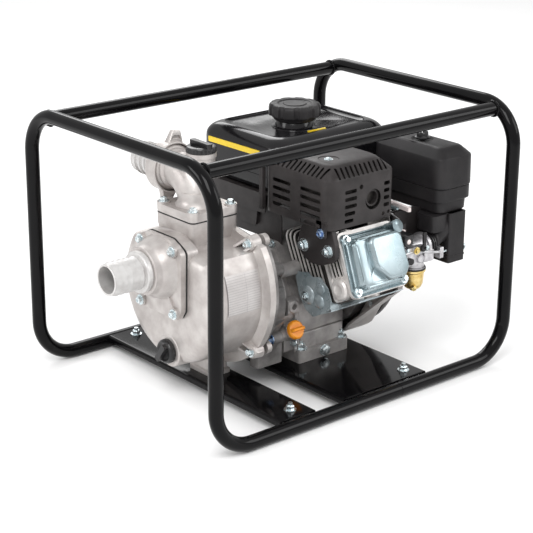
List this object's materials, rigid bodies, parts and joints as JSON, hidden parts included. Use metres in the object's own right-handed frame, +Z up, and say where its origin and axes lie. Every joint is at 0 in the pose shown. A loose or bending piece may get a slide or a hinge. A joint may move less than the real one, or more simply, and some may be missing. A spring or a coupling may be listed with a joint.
{
  "type": "gas engine trash pump",
  "caption": "Petrol engine driving a self-priming trash pump with suction and discharge hose tails, carried in a bent black tube frame",
  "frame": {"origin": "centre of the bounding box's underside, at the underside of the bottom frame rails", "axes": "X along the crankshaft from the suction port at -X to the recoil starter at +X, -Y the front with the cylinder head, Z up"},
  "size_m": [0.61, 0.4596, 0.4196],
  "materials": {
    "frame_paint": "gloss",
    "cast_pump": "satin",
    "cast_engine": "satin",
    "gasket": "matte",
    "black_plastic": "satin",
    "steel": "brushed",
    "zinc": "zinc plated",
    "iron": "as cast",
    "tank_paint": "gloss",
    "heat_black": "satin",
    "orange": "gloss",
    "yellow_zinc": "yellow passivated",
    "filter_paper": "matte",
    "ceramic": "gloss"
  },
  "bodies": {
    "base": {"frame_left_hoop": "frame_paint", "frame_right_hoop": "frame_paint", "frame_top_rail_front": "frame_paint", "frame_top_rail_rear": "frame_paint", "crossmember_pump": "frame_paint", "crossmember_engine": "frame_paint", "pump_casing": "cast_pump", "suction_gasket": "gasket", "suction_flange": "cast_pump", "suction_hose_tail": "cast_pump", "discharge_gasket": "gasket", "discharge_elbow": "cast_pump", "discharge_hose_tail": "cast_pump", "pump_adapter": "cast_engine", "volute": "iron", "mechanical_seal": "ceramic", "crankcase": "cast_engine", "crankcase_side_cover": "cast_engine", "cylinder_head": "cast_engine", "valve_cover": "zinc", "bearing_pump_side": "steel", "bearing_flywheel_side": "steel", "blower_housing": "heat_black", "recoil_cover": "heat_black", "fuel_tank": "tank_paint", "muffler_can": "heat_black", "muffler_guard": "heat_black", "exhaust_flange_pipe": "heat_black", "air_cleaner_case": "black_plastic", "air_filter_element": "filter_paper", "air_cleaner_bracket": "black_plastic", "intake_insulator": "black_plastic", "carburetor": "cast_engine", "carb_bowl": "yellow_zinc", "control_plate": "steel", "lower_shroud": "zinc", "spark_plug": "ceramic"},
    "rotor": {"crankshaft_pump_half": "steel", "crankshaft_flywheel_half": "steel", "impeller": "iron", "flywheel": "iron", "cooling_fan": "black_plastic"},
    "piston_set": {"piston": "cast_engine", "wrist_pin": "steel"},
    "rod": {"connecting_rod": "cast_engine"},
    "starter_handle": {"starter_grip": "black_plastic"},
    "reel": {"recoil_reel": "black_plastic"},
    "fuel_cap_body": {"fuel_cap": "black_plastic"},
    "filler_cap_body": {"filler_cap": "black_plastic"},
    "drain_plug_body": {"drain_plug": "black_plastic"},
    "dipstick_body": {"oil_dipstick": "orange"},
    "drain_bolt_body": {"oil_drain_bolt": "steel"},
    "air_cover_body": {"air_cleaner_cover": "black_plastic"},
    "air_knob_body": {"air_cleaner_knob": "black_plastic"},
    "throttle_body": {"throttle_lever": "zinc"},
    "choke_body": {"choke_lever": "black_plastic"},
    "fuel_valve_body": {"fuel_valve_lever": "steel"},
    "switch_body": {"engine_switch": "black_plastic"},
    "union_nut_body": {"discharge_union_nut": "cast_pump"},
    "check_flap_body": {"check_valve_flap": "gasket"}
  },
  "joints": [
    {"name": "crank_spin", "type": "hinge", "parent": "base", "child": "rotor", "pos_m": [0.00632, 0, 0.12735], "axis": [1, 0, 0], "continuous": true},
    {"name": "piston_slide", "type": "slide", "parent": "base", "child": "piston_set", "axis": [0, -0.9063, 0.4226], "range_m": [-0.054, 0]},
    {"name": "rod_swing", "type": "hinge", "parent": "piston_set", "child": "rod", "pos_m": [0.05633, -0.1006, 0.17426], "axis": [1, 0, 0], "range_deg": [-11, 11]},
    {"name": "starter_pull", "type": "slide", "parent": "base", "child": "starter_handle", "axis": [0, 1, 0], "range_m": [0, 0.25], "stiffness_N_per_m": 25, "springref_m": -0.05},
    {"name": "reel_turn", "type": "hinge", "parent": "base", "child": "reel", "pos_m": [0.18732, 0, 0.12735], "axis": [1, 0, 0], "range_deg": [-340, 0]},
    {"name": "fuel_cap_turn", "type": "hinge", "parent": "base", "child": "fuel_cap_body", "pos_m": [0.11232, 0.076, 0.36165], "axis": [0, 0, 1], "range_deg": [0, 90]},
    {"name": "filler_cap_turn", "type": "hinge", "parent": "base", "child": "filler_cap_body", "pos_m": [-0.12868, 0.006, 0.36465], "axis": [0, 0, 1], "range_deg": [0, 360]},
    {"name": "drain_plug_turn", "type": "hinge", "parent": "base", "child": "drain_plug_body", "pos_m": [-0.20267, -0.008, 0.07665], "axis": [-1, 0, 0], "range_deg": [0, 360]},
    {"name": "dipstick_turn", "type": "hinge", "parent": "base", "child": "dipstick_body", "pos_m": [-0.01117, -0.05, 0.07065], "axis": [0, -0.9061, 0.423], "range_deg": [0, 360]},
    {"name": "drain_bolt_turn", "type": "hinge", "parent": "base", "child": "drain_bolt_body", "pos_m": [0.05033, -0.071, 0.03265], "axis": [0, -1, 0], "range_deg": [0, 360]},
    {"name": "air_cover_lift", "type": "slide", "parent": "base", "child": "air_cover_body", "axis": [0, 0, 1], "range_m": [0, 0.045]},
    {"name": "air_knob_turn", "type": "hinge", "parent": "air_cover_body", "child": "air_knob_body", "pos_m": [0.23033, -0.09, 0.34465], "axis": [0, 0, 1], "range_deg": [0, 360]},
    {"name": "throttle_turn", "type": "hinge", "parent": "base", "child": "throttle_body", "pos_m": [0.14633, -0.07, 0.25565], "axis": [0, 0, 1], "range_deg": [-25, 25]},
    {"name": "choke_turn", "type": "hinge", "parent": "base", "child": "choke_body", "pos_m": [0.16032, -0.169, 0.20065], "axis": [0, 1, 0], "range_deg": [0, 60]},
    {"name": "fuel_valve_turn", "type": "hinge", "parent": "base", "child": "fuel_valve_body", "pos_m": [0.13432, -0.169, 0.18465], "axis": [0, 1, 0], "range_deg": [0, 80]},
    {"name": "switch_turn", "type": "hinge", "parent": "base", "child": "switch_body", "pos_m": [0.16833, -0.084, 0.22265], "axis": [1, 0, 0], "range_deg": [0, 45]},
    {"name": "union_nut_turn", "type": "hinge", "parent": "base", "child": "union_nut_body", "pos_m": [-0.14167, 0.062, 0.33265], "axis": [0, 1, 0], "range_deg": [-120, 120]},
    {"name": "check_flap_swing", "type": "hinge", "parent": "base", "child": "check_flap_body", "pos_m": [-0.19098, 0, 0.23965], "axis": [0, 1, 0], "range_deg": [-25, 0]}
  ],
  "couplings": [
    {"joint": "reel_turn", "follows": "starter_pull", "rad_per_m": -23.256}
  ]
}
